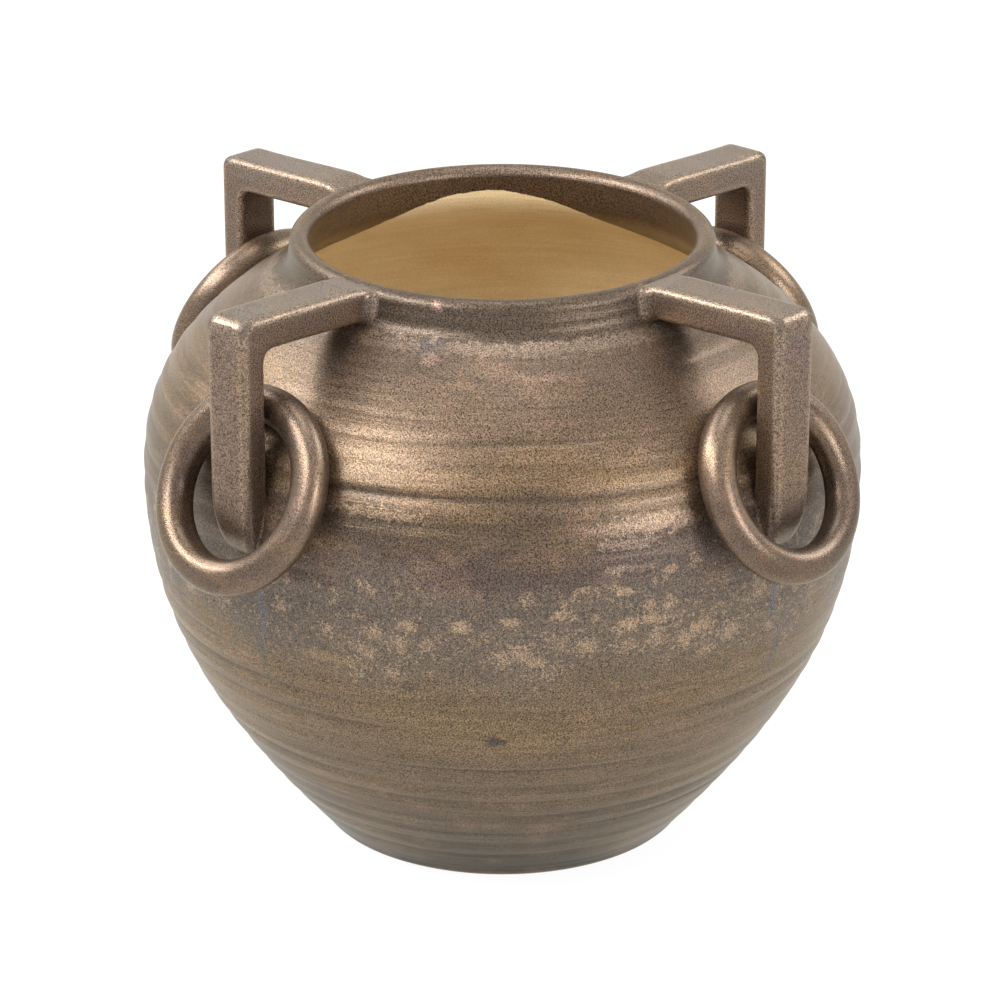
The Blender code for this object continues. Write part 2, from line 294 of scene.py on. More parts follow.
@dataclass(frozen=True)
class FiredMarks:
    """What the firing left on the vessel, and painted light: a grey flaked band, a shaded neck and single
    marks.

    The band looks dull and ashen with warm flakes in it. The neck is darkened with painted shade that has a
    torn edge, the glaze inside the vessel is darkened with painted shade, and the pale patches among the
    marks are painted highlights.
    """

    marks: tuple[Mark, ...]
    band: tuple[float, float] = (0.118, 0.162)
    band_edge: float = 0.012
    band_drift: float = 0.060
    band_share: float = 0.72
    ash_dark: str = "36312b"
    ash_light: str = "4f4337"
    flake_mm: float = 13.0
    flake_share: float = 0.62
    flake_shade: str = "7c6752"
    neck: tuple[float, float] = (0.2365, 0.2520)
    neck_edge: float = 0.0009
    neck_share: float = 0.66
    neck_painted_shade: str = "463c33"
    hem: tuple[float, float] = (0.2330, 0.2365)
    hem_edge: float = 0.0008
    hem_share: float = 0.40
    hem_shade: str = "8f7c6c"
    inside_share: float = 0.80
    inside_painted_shade: str = "5f4f42"

    def flakes(self, brush: GlazeBrush, angle: Any, belly: Any, small: Any) -> bpy.types.NodeSocket:
        """Share of flakes at each place: torn patches and fine dots, in clusters.

        Args:
            brush: Brush of the material.
            angle: Angle round the pot in radians.
            belly: Share of the grey band.
            small: Fine noise that tears the edges.

        Returns:
            The share, from nought to one.
        """
        pattern = {"Vector": brush.place, "Scale": 1 / (self.flake_mm * MM)}
        cells = add_node(brush.tree, "ShaderNodeTexVoronoi", pattern).outputs[0]
        cluster = brush.spread(brush.noise(brush.place, 50, 2, 0.5, 1.8, 0.55), 0.34, 0.60, 0.30, 1.0)
        round_right = brush.spread(angle, math.radians(-85), math.radians(-32), 0.78, 1.0)
        density = brush.times(brush.times(belly, cluster), round_right)
        torn = brush.math("MULTIPLY_ADD", small, 1.9, cells)
        reach = brush.math("MULTIPLY_ADD", density, 0.26, 1.00)
        patches = brush.spread(brush.math("SUBTRACT", reach, torn), 0.0, 0.03)
        dots = brush.spread(brush.math("MULTIPLY_ADD", density, 0.085, small), 0.625, 0.660, 0.0, 0.8)
        return brush.times(brush.math("MAXIMUM", patches, dots), brush.spread(belly, 0.02, 0.30))

    def paint(self, brush: GlazeBrush, color: Any) -> tuple[bpy.types.NodeSocket, bpy.types.NodeSocket]:
        """Lay the marks over the glaze.

        Args:
            brush: Brush of the material.
            color: Glaze colour underneath.

        Returns:
            The colour with the marks in it, and how dull the glaze is there.
        """
        place, height = brush.place, brush.height
        parts = add_node(brush.tree, "ShaderNodeSeparateXYZ", {0: place})
        angle = brush.math("ARCTAN2", parts.outputs[1], parts.outputs[0])
        drift = brush.noise(place, 45, 3, 0.6, 1.5, 0.4)
        drift = brush.math("MULTIPLY_ADD", drift, self.band_drift, -self.band_drift / 2)
        belly = brush.band(brush.math("ADD", height, drift), *self.band, self.band_edge)
        small = brush.noise(place, 3.0, 4, 0.7, 1.2, 0.9)
        salt = brush.noise(place, 1.3, 2, 0.6, 1.2, 0.5)
        ash = brush.blend(brush.spread(salt, 0.40, 0.64), linear(self.ash_dark), linear(self.ash_light))
        color = brush.blend(brush.times(belly, self.band_share), color, ash)
        flakes = self.flakes(brush, angle, belly, small)
        color = brush.lay(color, brush.times(flakes, self.flake_share), self.flake_shade)

        torn = brush.math("ADD", height, brush.math("MULTIPLY_ADD", small, 0.008, -0.004))
        hem = brush.band(torn, *self.hem, self.hem_edge)
        color = brush.lay(color, brush.times(hem, self.hem_share), self.hem_shade)
        # Painted shade: the concave neck is darkened, with a torn lower edge.
        neck = brush.band(torn, *self.neck, self.neck_edge)
        color = brush.lay(color, brush.times(neck, self.neck_share), self.neck_painted_shade)
        # The marks include painted highlights as well as the glaze's own spots, runs, pinholes and flakes.
        for mark in self.marks:
            color = brush.lay(color, brush.spot(angle, height, small, mark), mark.color)
        # Painted shade: the glaze inside the vessel is darkened.
        inside = brush.spread(brush.below, OUTSIDE + 5, OUTSIDE + 10)
        return brush.lay(color, brush.times(inside, self.inside_share), self.inside_painted_shade), belly


@dataclass(frozen=True)
class BronzeGlaze:
    """Metallic bronze stoneware glaze, fired to a satin skin full of fine crystals.

    It looks brown with a warm gleam where a lamp meets it, pools dark in the hollows, where painted shade is
    added, breaks lighter over the crests, where a painted highlight is added, and keeps a fine sparkling
    grain all over.
    Sharp edges carry a dark line, partly thin glaze and partly painted dark reflection. Its thin glassy skin
    pales what is seen at a slant.
    """

    name: str
    rows: tuple[tuple[float, str], ...]
    metallic: float = 0.78
    roughness: float = 0.32
    coat: float = 0.18
    coat_roughness: float = 0.35
    # Real crystals are about a tenth of a millimetre. They are drawn this coarse so that they show.
    grain_mm: float = 0.58
    grain_depth: float = 0.00010
    grain_contrast: float = 1.00
    streak_contrast: float = 0.28
    line_depth: float = 0.00018
    ochre_shade: str = "735d40"
    bloom_shade: str = "806553"
    # Hollows darken partly as pooled glaze and partly with painted shade; crests lighten partly as glaze
    # breaking thin and partly with painted highlight.
    hollow_pool_and_shade: str = "3a312a"
    crest_break_and_highlight: str = "8d7863"
    crest_share: float = 0.35
    # Sharp edges show a dark line, partly thin glaze and partly painted dark reflection.
    arris_thin_glaze_and_reflection: str = "3b3028"
    arris_share: float = 0.0
    edge_tint: str = "f1eadc"
    fired: FiredMarks | None = None

    def make(self) -> bpy.types.Material:
        """Build the glaze as a node material.

        Returns:
            The material, with the bare clay under it where the vessel's attribute asks for it.
        """
        made = bpy.data.materials.new(self.name)
        made.use_nodes = True
        tree = made.node_tree
        sockets = tree.nodes["Principled BSDF"].inputs
        brush = GlazeBrush(tree, self.grain_mm)
        # Sharp edges get a dark line: partly thin glaze, which is also duller, and partly painted dark
        # reflection.
        arris = brush.spread(brush.hollows, -0.45, -0.80, 0.0, self.arris_share)
        color = brush.lay(self.run(brush), arris, self.arris_thin_glaze_and_reflection)
        dull: Any = 0.0
        if self.fired:
            color, dull = self.fired.paint(brush, color)
        sparkle = brush.spread(brush.grain, 0.25, 0.75, 1 - self.grain_contrast, 1 + self.grain_contrast)
        color = brush.shade(color, sparkle)

        chips = brush.math("MULTIPLY_ADD", brush.noise(brush.place, 9, 5, 0.7), 3.0, -1.5)
        bare = brush.spread(brush.math("ADD", brush.below, chips), 0.0, 0.35)
        clay = StonewareClay().color(brush)
        metal = brush.math("MULTIPLY_ADD", dull, -0.5 * self.metallic, self.metallic)
        metal = brush.times(metal, brush.math("MULTIPLY_ADD", arris, -0.6, 1.0))
        tree.links.new(brush.blend(bare, color, clay), sockets["Base Color"])
        tree.links.new(brush.times(metal, brush.math("SUBTRACT", 1.0, bare)), sockets["Metallic"])
        tree.links.new(self.satin(brush, dull, arris, bare), sockets["Roughness"])
        tree.links.new(self.skin(brush), sockets["Normal"])
        sockets["Specular Tint"].default_value = linear(self.edge_tint)
        sockets["Coat Weight"].default_value = self.coat
        sockets["Coat Roughness"].default_value = self.coat_roughness
        return made

    def run(self, brush: GlazeBrush) -> bpy.types.NodeSocket:
        """Colour of the glaze as it ran and pooled: rows by height, streaks, hollows darker partly with
        painted shade, and crests lighter partly with painted highlight.

        Args:
            brush: Brush of the material.

        Returns:
            The colour.
        """
        wander = brush.math("MULTIPLY_ADD", brush.streak, 0.030, -0.015)
        level = brush.math("DIVIDE", brush.math("ADD", brush.height, wander), 0.26)
        color = brush.ramp(level, self.rows)
        ochre = brush.noise(brush.place, 60, 3, 0.55, 3, 0.7)
        color = brush.lay(color, brush.spread(ochre, 0.45, 0.70, 0.0, 0.40), self.ochre_shade)
        color = brush.lay(color, brush.spread(brush.mottle, 0.50, 0.72, 0.0, 0.35), self.bloom_shade)
        strong, slight = 2 * self.streak_contrast, 3.2 * self.streak_contrast
        wide = brush.math("MULTIPLY_ADD", brush.streak, strong, 1 - strong / 2)
        lines = brush.math("MULTIPLY_ADD", brush.fine, slight, 1 - slight / 2)
        color = brush.shade(color, brush.times(wide, lines))
        # Painted shade: the hollows in the wall and the fillets where the pieces meet are darkened, partly as
        # pooled glaze.
        color = brush.lay(color, brush.spread(brush.hollows, 0.10, 1.0, 0.0, 0.60), self.hollow_pool_and_shade)
        # Painted highlight: crests and the flanks of rounded edges are lightened, partly as glaze breaking
        # thin over them.
        crests = brush.spread(brush.hollows, -0.10, -0.50, 0.0, self.crest_share)
        return brush.lay(color, crests, self.crest_break_and_highlight)

    def satin(self, brush: GlazeBrush, dull: Any, arris: Any, bare: Any) -> bpy.types.NodeSocket:
        """Roughness: the crystals and the mottle vary it, and dull, worn and bare places raise it.

        Args:
            brush: Brush of the material.
            dull: Share of the grey band.
            arris: Share of the thin glaze on sharp edges, whose dark colour is partly painted reflection.
            bare: Share of bare clay.

        Returns:
            The roughness.
        """
        rough = brush.math("MULTIPLY_ADD", brush.grain, 0.20, self.roughness - 0.18)
        rough = brush.math("MULTIPLY_ADD", brush.mottle, 0.16, rough)
        rough = brush.math("MULTIPLY_ADD", dull, 0.14, rough)
        rough = brush.math("MULTIPLY_ADD", arris, 0.30, rough)
        return brush.math("MAXIMUM", rough, brush.times(bare, 0.85))

    def skin(self, brush: GlazeBrush) -> bpy.types.NodeSocket:
        """Normal with the fine throwing lines and the crystals on it."""
        relief = {"Height": brush.fine, "Distance": self.line_depth, "Strength": 1.0}
        lines = add_node(brush.tree, "ShaderNodeBump", relief).outputs[0]
        relief = {"Height": brush.grain, "Distance": self.grain_depth, "Strength": 1.0, "Normal": lines}
        return add_node(brush.tree, "ShaderNodeBump", relief).outputs[0]


# Glaze colour by height. The near-black stops at the foot are painted shade, and the darker rows above the
# belly's widest point and at the neck are partly painted shade.
BODY_ROWS = ((0.02, "1c1713"), (0.08, "443a2f"), (0.28, "61513f"), (0.42, "645440"), (0.50, "594c3e"),
             (0.62, "4f423c"), (0.69, "4b3f34"), (0.735, "5c4b3a"), (0.80, "645241"), (0.87, "56473a"),
             (1.00, "594a3c"))
HANDLE_ROWS = ((0.55, "5d4e42"), (0.80, "625144"), (0.93, "635247"), (1.0, "655a50"))
RING_ROWS = ((0.55, "50433a"), (0.80, "594a3f"), (1.0, "594a3f"))
# Painted highlights: pale patches on the upper belly where the lamps catch raised glaze.
PAINTED_HIGHLIGHT_PATCHES = (
    Mark(-66.0, 0.1838, 8.0, 0.0026, "927a63", 0.60, 1.8),
    Mark(-24.0, 0.1790, 10.0, 0.0040, "826c59", 0.50, 2.2),
    Mark(-27.0, 0.1725, 6.0, 0.0026, "8b776b", 0.50, 1.8),
    Mark(-27.5, 0.1632, 5.0, 0.0016, "8c7866", 0.35, 1.8),
)
NECK_SPOTS = (
    Mark(-64.2, 0.2345, 3.6, 0.0026, "48474a", 0.65, 2.5),
    Mark(-63.3, 0.2318, 2.4, 0.0018, "94786a", 0.45, 0.8),
    Mark(-64.0, 0.2490, 1.6, 0.0030, "94786a", 0.45, 1.2),
)
DARK_SPOTS = (
    Mark(-61.0, 0.1131, 1.6, 0.0022, "3c352f", 0.45, 1.2),
    Mark(-47.9, 0.0883, 1.8, 0.0025, "35302c", 0.75, 1.4),
    Mark(-45.0, 0.0722, 34.0, 0.0008, "453b33", 0.60, 0.3),
)
RUNS_UNDER_RINGS = tuple(
    Mark(angle, height, half_span, half_height, color, strength, 0.5)
    for angle, height, half_span, half_height, color, strength in (
        (-86.6, 0.1330, 0.9, 0.0120, "45444a", 0.7), (-88.0, 0.1160, 0.8, 0.0100, "4a4748", 0.6),
        (-0.2, 0.1330, 0.8, 0.0110, "45444a", 0.7), (2.5, 0.1110, 0.8, 0.0140, "4a4748", 0.6))
)
OCHRE_PATCH = Mark(-74.0, 0.1210, 7.0, 0.0026, "776345", 0.4, 1.4)
PINHOLES = tuple(
    Mark(angle, height, half_span, half_height, "0c0a09", 0.95, 0.1)
    for angle, height, half_span, half_height in (
        (-100.5, 0.1296, 0.22, 0.0006), (-99.3, 0.1304, 0.24, 0.0006),
        (-98.3, 0.1291, 0.26, 0.0007), (-100.3, 0.1281, 0.18, 0.0005))
)
LARGE_FLAKES = (
    Mark(-34.4, 0.1560, 1.9, 0.0016, "806b56", 0.66, 1.8),
    Mark(-28.3, 0.1539, 1.5, 0.0022, "806b56", 0.66, 1.8),
    Mark(-38.0, 0.1455, 1.9, 0.0028, "7e6852", 0.66, 2.0),
    Mark(-27.4, 0.1399, 1.9, 0.0026, "7e6852", 0.66, 2.0),
    Mark(-23.4, 0.1408, 1.9, 0.0026, "7e6852", 0.66, 2.0),
    Mark(-45.6, 0.1436, 1.6, 0.0024, "7e6852", 0.62, 1.8),
    Mark(-53.0, 0.1420, 1.8, 0.0028, "7a654f", 0.62, 1.8),
    Mark(-61.3, 0.1407, 1.9, 0.0022, "7a654f", 0.62, 1.6),
    Mark(-41.4, 0.1262, 1.6, 0.0028, "7c6750", 0.70, 1.8),
    Mark(-15.3, 0.1329, 1.9, 0.0030, "7e6852", 0.62, 2.0),
    Mark(-20.5, 0.1598, 1.2, 0.0020, "7e6852", 0.62, 1.6),
)
BODY_MARKS = (*PAINTED_HIGHLIGHT_PATCHES, *NECK_SPOTS, *DARK_SPOTS, *RUNS_UNDER_RINGS, OCHRE_PATCH, *PINHOLES,
              *LARGE_FLAKES)


def only(obj: bpy.types.Object) -> None:
    """Deselect everything, then select one object and make it active."""
    bpy.ops.object.select_all(action="DESELECT")
    obj.select_set(True)
    bpy.context.view_layer.objects.active = obj


def finish_place(obj: bpy.types.Object) -> None:
    """Put an object's place and turn into its mesh, so that the object sits at the origin."""
    only(obj)
    bpy.ops.object.transform_apply(location=True, rotation=True, scale=True)


def read_points(obj: bpy.types.Object) -> np.ndarray:
    """Vertices of a mesh as rows of x, y and z."""
    flat = np.empty(len(obj.data.vertices) * 3)
    obj.data.vertices.foreach_get("co", flat)
    return flat.reshape(-1, 3)


def write_points(obj: bpy.types.Object, points: np.ndarray) -> None:
    """Move a mesh's vertices to new places."""
    obj.data.vertices.foreach_set("co", points.ravel())
    obj.data.update()


def store(obj: bpy.types.Object, name: Relief, values: np.ndarray) -> None:
    """Keep one number for each vertex as an attribute that a glaze reads."""
    made = obj.data.attributes.new(name.value, "FLOAT", "POINT")
    made.data.foreach_set("value", np.asarray(values, dtype=np.float32))


def eased(share: np.ndarray) -> np.ndarray:
    """Share from nought to one with a soft start and end."""
    return share * share * (3 - 2 * share)


def away_from(angle: np.ndarray, degrees: float) -> np.ndarray:
    """Radians from a direction round the pot, the short way and below nought on its right."""
    return np.angle(np.exp(1j * (angle - math.radians(degrees))))


def ripple(x: np.ndarray, y: np.ndarray, seed: int, count: int = 5) -> np.ndarray:
    """Smooth seamless unevenness, from nought on average and about one at most.

    Args:
        x: Angles round the pot in radians.
        y: Distances along the wall, in steps of about one per wave.
        seed: Seed of the wave's phases.
        count: Number of waves that are added up.

    Returns:
        The unevenness at each place.
    """
    chance = np.random.default_rng(seed)
    total = np.zeros(np.broadcast(x, y).shape)
    for wave in range(count):
        turns = chance.integers(1, 2 + wave)
        total += np.sin(turns * x + chance.uniform(0.4, 1.6) * y * math.tau + chance.uniform(0, math.tau))
    return total / count * 1.6


def curvature(obj: bpy.types.Object, rounds: int, full: float) -> np.ndarray:
    """How hollow the surface is at each vertex, against itself smoothed.

    Args:
        obj: Mesh object, finely and evenly meshed.
        rounds: Rounds of smoothing, which set how wide a hollow is looked for.
        full: Depth in metres that counts as one.

    Returns:
        Above nought in hollows and below on edges, from -1 to 1.
    """
    points = read_points(obj)
    edges = np.empty(len(obj.data.edges) * 2, dtype=np.int64)
    obj.data.edges.foreach_get("vertices", edges)
    first, second = edges.reshape(-1, 2).T
    share = np.bincount(np.concatenate((first, second)), minlength=len(points)).clip(1)[:, None]
    smooth = points.copy()
    for _ in range(rounds):
        total = np.zeros_like(smooth)
        np.add.at(total, first, smooth[second])
        np.add.at(total, second, smooth[first])
        smooth = 0.5 * smooth + 0.5 * total / share
    normals = np.empty(len(points) * 3)
    obj.data.vertices.foreach_get("normal", normals)
    depth = np.einsum("ij,ij->i", smooth - points, normals.reshape(-1, 3))
    return np.clip(depth / full, -1, 1)


@dataclass(frozen=True)
class Groove:
    """One stretch of a finger's mark that shows by itself: where it runs, how far round and how deep."""

    height: float
    middle: float
    half_span: float
    depth: float
    width: float
    climb: float = 0.0


@dataclass
class Vessel:
    """Thrown vessel: foot, belly, shoulder, neck and lip, as one closed wall of clay."""

    foot_radius: float = 0.0732
    foot_edge: float = 0.0045
    foot_slope: float = 0.885
    lower_fullness: float = 0.756
    belly_radius: float = 0.1466
    belly_height: float = 0.1527
    upper_fullness: float = 0.824
    shoulder_radius: float = 0.0914
    shoulder_height: float = 0.2369
    shoulder_slope: float = -1.63
    neck_radius: float = 0.0865
    neck_height: float = 0.2440
    lip_radius: float = 0.0859
    lip_width: float = 0.0084
    wall: float = 0.0070
    floor: float = 0.0110
    foot_ring: float = 0.0120
    foot_recess: float = 0.0030
    ridge_pitch: float = 0.0112
    ridge_depth: float = 0.00060
    line_depth: float = 0.00032
    crawl_depth: float = 0.00004
    fade_in: float = 0.0300
    fade_out: float = 0.0400
    rim_dip: float = 0.0019
    dip_from: float = 0.2260
    dip_rise: float = 0.0120
    dip_reach: float = 0.1460
    dip_fade: float = 0.0580
    glaze_line: float = 0.2180
    glaze_line_rise: float = 0.0265
    glaze_line_back: float = 138.0
    bare_foot: float = 0.0660
    segments: int = 300
    spacing: float = 0.00125
    skin: float = 0.0006
    grooves: tuple[Groove, ...] = (
        Groove(0.2094, -44, 19, 0.00050, 0.0010),
        Groove(0.2020, -46, 18, 0.00046, 0.0010),
        Groove(0.1912, -44, 36, 0.00070, 0.0012, 0.0006),
        Groove(0.1960, -60, 14, 0.00012, 0.0010),
        Groove(0.1800, -60, 15, 0.00024, 0.0024),
        Groove(0.1690, -30, 16, 0.00020, 0.0016),
        Groove(0.1660, -55, 20, 0.00012, 0.0012),
        Groove(0.0722, -45, 36, 0.00018, 0.0008),
    )
    rim: float = field(init=False)
    heights: np.ndarray = field(init=False)
    radii: np.ndarray = field(init=False)
    slopes: np.ndarray = field(init=False)

    def __post_init__(self) -> None:
        """Work out the rim's height and the wall's smooth curve, a clamped spline through five places."""
        self.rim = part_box("thrown_body")[1].z
        self.heights = np.array([0.0, self.belly_height / 2, self.belly_height,
                                 (self.belly_height + self.shoulder_height) / 2, self.shoulder_height])
        low, high = self.belly_radius - self.foot_radius, self.belly_radius - self.shoulder_radius
        self.radii = np.array([self.foot_radius, self.foot_radius + self.lower_fullness * low,
                               self.belly_radius, self.shoulder_radius + self.upper_fullness * high,
                               self.shoulder_radius])
        steps = np.diff(self.heights)
        rises = np.diff(self.radii) / steps
        system, wanted = np.eye(5), np.zeros(5)
        wanted[0], wanted[-1] = self.foot_slope, self.shoulder_slope
        for i in range(1, 4):
            system[i, i - 1:i + 2] = (1 / steps[i - 1], 2 / steps[i - 1] + 2 / steps[i], 1 / steps[i])
            wanted[i] = 3 * (rises[i - 1] / steps[i - 1] + rises[i] / steps[i])
        self.slopes = np.linalg.solve(system, wanted)

    def wall_radius(self, height: np.ndarray) -> np.ndarray:
        """Outer radius of the smooth wall at heights between the foot and the shoulder."""
        i = np.clip(np.searchsorted(self.heights, height) - 1, 0, 3)
        step = self.heights[i + 1] - self.heights[i]
        t = (height - self.heights[i]) / step
        return ((1 + 2 * t) * (1 - t) ** 2 * self.radii[i] + t * (1 - t) ** 2 * step * self.slopes[i]
                + t * t * (3 - 2 * t) * self.radii[i + 1] - t * t * (1 - t) * step * self.slopes[i + 1])

    @staticmethod
    def curve(ends: Sequence[Sequence[float]], steps: int) -> np.ndarray:
        """Points along a cubic curve with four control points, its start left out."""
        t = np.linspace(0, 1, steps + 1)[1:, None]
        a, b, c, d = (np.array(end) for end in ends)
        return (1 - t) ** 3 * a + 3 * t * (1 - t) ** 2 * b + 3 * t * t * (1 - t) * c + t ** 3 * d

    def outside(self) -> np.ndarray:
        """Smooth outer side from the foot's edge up to the lip's outermost point.

        Returns:
            Rows of radius and height, evenly spaced on the wall.
        """
        heights = np.linspace(self.foot_edge, self.shoulder_height, 600)
        radii = self.wall_radius(heights)
        travelled = np.concatenate(([0.0], np.cumsum(np.hypot(np.diff(radii), np.diff(heights)))))
        even = np.linspace(0.0, travelled[-1], round(travelled[-1] / self.spacing) + 1)
        wall = np.column_stack((np.interp(even, travelled, radii), np.interp(even, travelled, heights)))
        waist = np.array((self.neck_radius, self.neck_height))
        lip = np.array((self.lip_radius, self.rim - self.lip_width / 2))
        slope = np.array((self.shoulder_slope, 1.0)) / math.hypot(self.shoulder_slope, 1.0)
        reach = 0.55 * math.dist(wall[-1], waist)
        neck = self.curve((wall[-1], wall[-1] + slope * reach, waist - (0, 0.5 * reach), waist), 9)
        rise = lip[1] - waist[1]
        flare = self.curve((waist, waist + (0, 0.4 * rise), lip - (0, 0.5 * rise), lip), 6)
        return np.concatenate((wall, neck, flare))

    def outline(self) -> np.ndarray:
        """Whole section, from the underside's middle round the outside and the lip to the floor's middle.

        Returns:
            Rows of radius and height. The cavity has fewer than the outside, most of them near the lip.
        """
        ring_outside = self.foot_radius - self.foot_edge
        ring_inside = ring_outside - self.foot_ring
        outside = self.outside()
        across = np.linspace(0, ring_inside - self.foot_recess, 12)
        under = np.column_stack((across, np.full(12, self.foot_recess)))
        under = np.concatenate((under, [(ring_inside - 0.0008, 0.0006), (ring_inside, 0.0),
                                        (ring_outside - 0.004, 0.0), (ring_outside, 0.0)]))
        heel = self.curve(((ring_outside, 0.0), (self.foot_radius, 0.0),
                           (self.foot_radius + self.foot_edge / 2, self.foot_edge / 3), outside[0]), 5)[:-1]
        radius = self.lip_width / 2
        angles = np.linspace(0, math.pi, 17)[1:-1, None]
        middle = np.array((self.lip_radius - radius, self.rim - radius))
        lip = middle + radius * np.concatenate((np.cos(angles), np.sin(angles)), axis=1)
        along = np.gradient(outside, axis=0)
        along /= np.linalg.norm(along, axis=1)[:, None]
        moved = outside + self.wall * np.column_stack((-along[:, 1], along[:, 0]))
        low = self.floor + self.wall
        cavity = moved[(moved[:, 1] > low) & (moved[:, 1] < self.neck_height)][::-1]
        thinned = np.concatenate((cavity[:36:2], cavity[36::6], cavity[-1:]))
        start = [(self.lip_radius - self.lip_width, self.rim - radius)]
        corner = thinned[-1, 1] - self.floor
        base = thinned[-1, 0]
        bottom = self.curve((thinned[-1], (base - 0.5 * corner, self.floor + 0.4 * corner),
                             (base - corner, self.floor), (base - 2 * corner, self.floor)), 5)
        base_floor = np.column_stack((np.linspace(bottom[-1, 0], 0, 9)[1:], np.full(8, self.floor)))
        return np.concatenate((under, heel, outside, lip, start, thinned, bottom, base_floor))

    def turn_profile(self, name: str) -> bpy.types.Object:
        """Extrude one point along the section and spin the line into the vessel, as on a wheel.

        Args:
            name: Name of the new object.

        Returns:
            The closed vessel, smooth and without any throwing marks.
        """
        outline = self.outline()
        bpy.ops.object.select_all(action="DESELECT")
        bpy.ops.mesh.primitive_plane_add(size=0.01, location=(outline[0, 0], 0, outline[0, 1]))
        vessel = bpy.context.object
        vessel.name = vessel.data.name = name
        finish_place(vessel)
        bpy.ops.object.mode_set(mode="EDIT")
        bpy.ops.mesh.select_all(action="SELECT")
        bpy.ops.mesh.merge(type="CENTER")
        for step in np.diff(outline, axis=0):
            bpy.ops.mesh.extrude_region_move(TRANSFORM_OT_translate={"value": (step[0], 0.0, step[1])})
        bpy.ops.mesh.select_all(action="SELECT")
        bpy.ops.mesh.spin(steps=self.segments, angle=math.tau, center=(0, 0, 0), axis=(0, 0, 1))
        bpy.ops.mesh.select_all(action="SELECT")
        bpy.ops.mesh.remove_doubles(threshold=1e-6)
        bpy.ops.mesh.normals_make_consistent(inside=False)
        bpy.ops.object.mode_set(mode="OBJECT")
        vessel.data.shade_smooth()
        return vessel

    def throwing_marks(self, angle: np.ndarray, travelled: np.ndarray, height: np.ndarray) -> np.ndarray:
        """How far the wall stands out or in where the potter's fingers passed.

        The fingers climb one pitch a turn, so the ridges are one long screw line, uneven as a hand is, and
        fainter on the side that the camera sees. Two thin lines follow them, a crawl of fine turning marks
        lies over all, and the grooves that show by themselves come last.

        Args:
            angle: Angles round the pot in radians.
            travelled: Distances along the wall from the foot's edge, in metres.
            height: Heights above the foot.

        Returns:
            Distances out from the smooth wall, in metres.
        """
        left = travelled.max() - travelled
        fade = np.clip(travelled / self.fade_in, 0, 1) * np.clip(left / self.fade_out, 0, 1)
        waver = 0.5 * ripple(angle, travelled / 0.07, seed=3) + ripple(0 * angle, travelled / 0.05, seed=11)
        phase = travelled / self.ridge_pitch * math.tau - angle + waver
        calm = 1 - 0.55 * np.exp(-(away_from(angle, FACING) / 0.75) ** 2)
        strength = np.clip(0.60 + 0.50 * ripple(angle, travelled / 0.06, seed=5), 0.15, 1.2) * calm
        sharp = np.clip(0.45 + 0.75 * ripple(angle, travelled / 0.045, seed=17), 0.0, 1.2)
        marks = 0.5 * self.ridge_depth * fade * strength * np.cos(phase)
        marks -= self.line_depth * fade * sharp * np.exp((np.cos(phase + 2.6) - 1) / 0.10)
        marks -= 0.4 * self.line_depth * fade * (1.2 - sharp) * np.exp((np.cos(phase + 0.4) - 1) / 0.05)
        marks += self.crawl_depth * fade * ripple(angle, travelled / 0.0042, seed=8)
        for groove in self.grooves:
            off = np.degrees(away_from(angle, groove.middle))
            level = groove.height + groove.climb * off / groove.half_span
            reach = np.clip(1 - np.abs(off) / groove.half_span, 0, 1)
            marks -= groove.depth * np.sqrt(reach) * np.exp(-((height - level) / groove.width) ** 2)
        return marks

    def build(self, glaze: bpy.types.Material) -> bpy.types.Object:
        """Turn the vessel, mark it as a potter's fingers do, and dress it.

        Args:
            glaze: Glaze that turns to bare clay where it is told to.

        Returns:
            The finished vessel.
        """
        vessel = self.turn_profile("vessel")
        points = read_points(vessel)
        outside = self.outside()
        wall = outside[outside[:, 1] <= self.shoulder_height]
        travelled = np.concatenate(([0.0], np.cumsum(np.linalg.norm(np.diff(wall, axis=0), axis=1))))
        radius, angle = np.hypot(points[:, 0], points[:, 1]), np.arctan2(points[:, 1], points[:, 0])
        height = points[:, 2]
        on_wall = np.abs(radius - np.interp(height, wall[:, 1], wall[:, 0])) < self.skin
        on_wall &= (height > self.foot_edge) & (height < self.shoulder_height)
        along = np.gradient(wall, axis=0)
        along /= np.linalg.norm(along, axis=1)[:, None]
        at = height[on_wall]
        marks = self.throwing_marks(angle[on_wall], np.interp(at, wall[:, 1], travelled), at)
        out = marks * np.interp(at, wall[:, 1], along[:, 1])
        points[on_wall, 0] += out * np.cos(angle[on_wall])
        points[on_wall, 1] += out * np.sin(angle[on_wall])
        points[on_wall, 2] -= marks * np.interp(at, wall[:, 1], along[:, 0])
        write_points(vessel, self.dip(points))
        hollows = np.zeros(len(points))
        hollows[on_wall] = np.clip(-marks / self.ridge_depth, -1, 1)
        store(vessel, Relief.HOLLOWS, hollows)
        store(vessel, Relief.BARE, self.bare_depth(radius, angle, height))
        vessel.data.materials.append(glaze)
        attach(vessel, "vessel")
        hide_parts("thrown_body")
        return vessel

